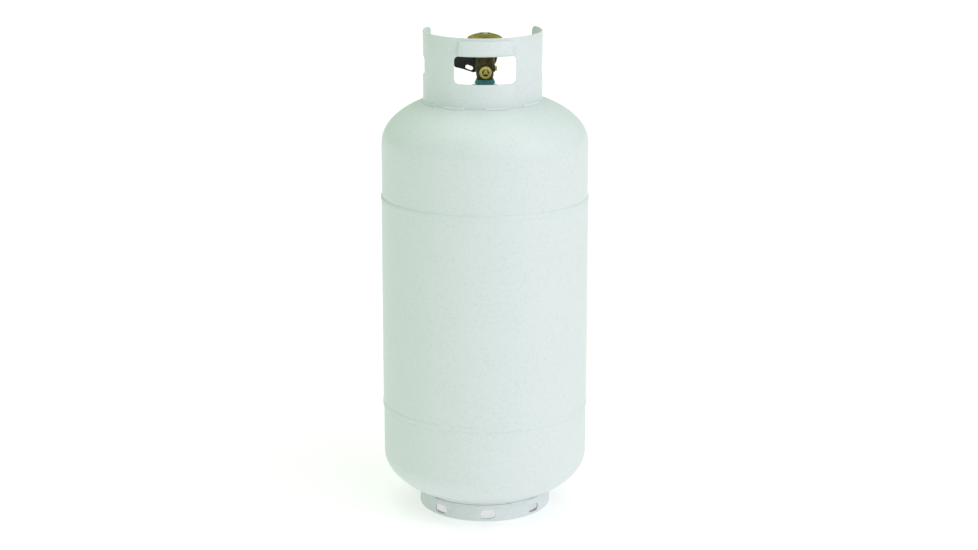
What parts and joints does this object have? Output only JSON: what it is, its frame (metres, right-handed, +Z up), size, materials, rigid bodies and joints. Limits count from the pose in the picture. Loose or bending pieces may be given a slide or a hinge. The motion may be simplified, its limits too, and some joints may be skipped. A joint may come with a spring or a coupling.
{
  "type": "propane tank",
  "caption": "Upright refillable propane cylinder with welded collar, foot ring and service valve: handwheel, capped outlet, relief, bleeder and overfill float.",
  "frame": {"origin": "on the cylinder's axis, in the plane its foot ring stands on", "axes": "+Z up the cylinder; -Y is the front, where the collar's wide hand hole is; +Y is the rear, where the collar is open and the outlet points"},
  "size_m": [0.3116, 0.3116, 0.733],
  "materials": {
    "white_paint": "semi-gloss white enamel with a slight orange peel",
    "forged_brass": "as-forged, lightly blasted",
    "turned_brass": "turned, satin",
    "gold_wheel": "yellow zinc plate, satin",
    "zinc_steel": "zinc plated",
    "teal_plastic": "moulded, satin",
    "black_plastic": "moulded, satin",
    "black_rubber": "matt"
  },
  "bodies": {
    "vessel": {"top_head": "white_paint", "bottom_head": "white_paint", "shell": "white_paint", "upper_girth_weld": "white_paint", "lower_girth_weld": "white_paint", "shell_seam_weld": "white_paint", "collar": "white_paint", "collar_welds": "white_paint", "foot_ring": "white_paint", "foot_ring_welds": "white_paint", "spud": "white_paint", "spud_weld": "white_paint", "valve_body": "forged_brass", "neck_seal_ring": "teal_plastic", "bonnet_nut": "turned_brass", "bonnet_gasket": "black_rubber", "stem_seal": "black_rubber", "relief_retainer": "turned_brass", "relief_spring": "zinc_steel", "dip_tube": "turned_brass", "check_seat_ring": "turned_brass", "check_spring": "zinc_steel", "outlet_seal": "black_rubber", "leash_ring": "black_plastic", "leash_strand": "black_plastic", "stop_housing": "turned_brass", "float_pin": "zinc_steel", "pin_clip": "zinc_steel"},
    "wheel": {"upper_stem": "turned_brass", "handwheel": "gold_wheel", "handwheel_washer": "zinc_steel", "handwheel_screw": "zinc_steel"},
    "seat": {"seat_disc": "black_rubber", "disc_holder": "turned_brass"},
    "spindle": {"lower_spindle": "turned_brass"},
    "relief": {"relief_poppet": "turned_brass", "relief_disc": "black_rubber"},
    "bleeder": {"bleed_screw": "turned_brass", "bleed_seal": "black_rubber"},
    "outlet_check": {"check_poppet": "black_plastic"},
    "cap": {"dust_cap": "black_plastic"},
    "float": {"float_arm": "zinc_steel", "stop_float": "black_plastic"},
    "piston": {"stop_piston": "turned_brass"}
  },
  "joints": [
    {"name": "handwheel_turn", "type": "hinge", "parent": "vessel", "child": "wheel", "pos_m": [0, 0, 0.7098], "axis": [0, 0, 1], "range_deg": [0, 540]},
    {"name": "seat_lift", "type": "slide", "parent": "vessel", "child": "seat", "axis": [0, 0, 1], "range_m": [0, 0.0024]},
    {"name": "spindle_lift", "type": "slide", "parent": "wheel", "child": "spindle", "axis": [0, 0, 1], "range_m": [0, 0.0024]},
    {"name": "relief_pop", "type": "slide", "parent": "vessel", "child": "relief", "axis": [0, -1, 0], "range_m": [0, 0.002], "stiffness_N_per_m": 3000, "springref_m": -0.01, "deforming": ["relief_spring"]},
    {"name": "bleed_turn", "type": "hinge", "parent": "vessel", "child": "bleeder", "pos_m": [0.015, 0, 0.6755], "axis": [1, 0, 0], "range_deg": [0, 360]},
    {"name": "outlet_check_open", "type": "slide", "parent": "vessel", "child": "outlet_check", "axis": [0, -1, 0], "range_m": [0, 0.002], "stiffness_N_per_m": 500, "springref_m": -0.004, "deforming": ["check_spring"]},
    {"name": "dust_cap_pull", "type": "slide", "parent": "vessel", "child": "cap", "axis": [0, 1, 0], "range_m": [0, 0.02], "deforming": ["leash_strand"]},
    {"name": "float_swing", "type": "hinge", "parent": "vessel", "child": "float", "pos_m": [-0.004, 0, 0.59], "axis": [0, 1, 0], "range_deg": [0, 60]},
    {"name": "stop_lift", "type": "slide", "parent": "vessel", "child": "piston", "axis": [0, 0, 1], "range_m": [0, 0.0022]}
  ],
  "couplings": [
    {"joint": "seat_lift", "follows": "handwheel_turn", "m_per_rad": 0.000254},
    {"joint": "spindle_lift", "follows": "handwheel_turn", "m_per_rad": 0.000254},
    {"joint": "stop_lift", "follows": "float_swing", "m_per_rad": 0.0021}
  ]
}
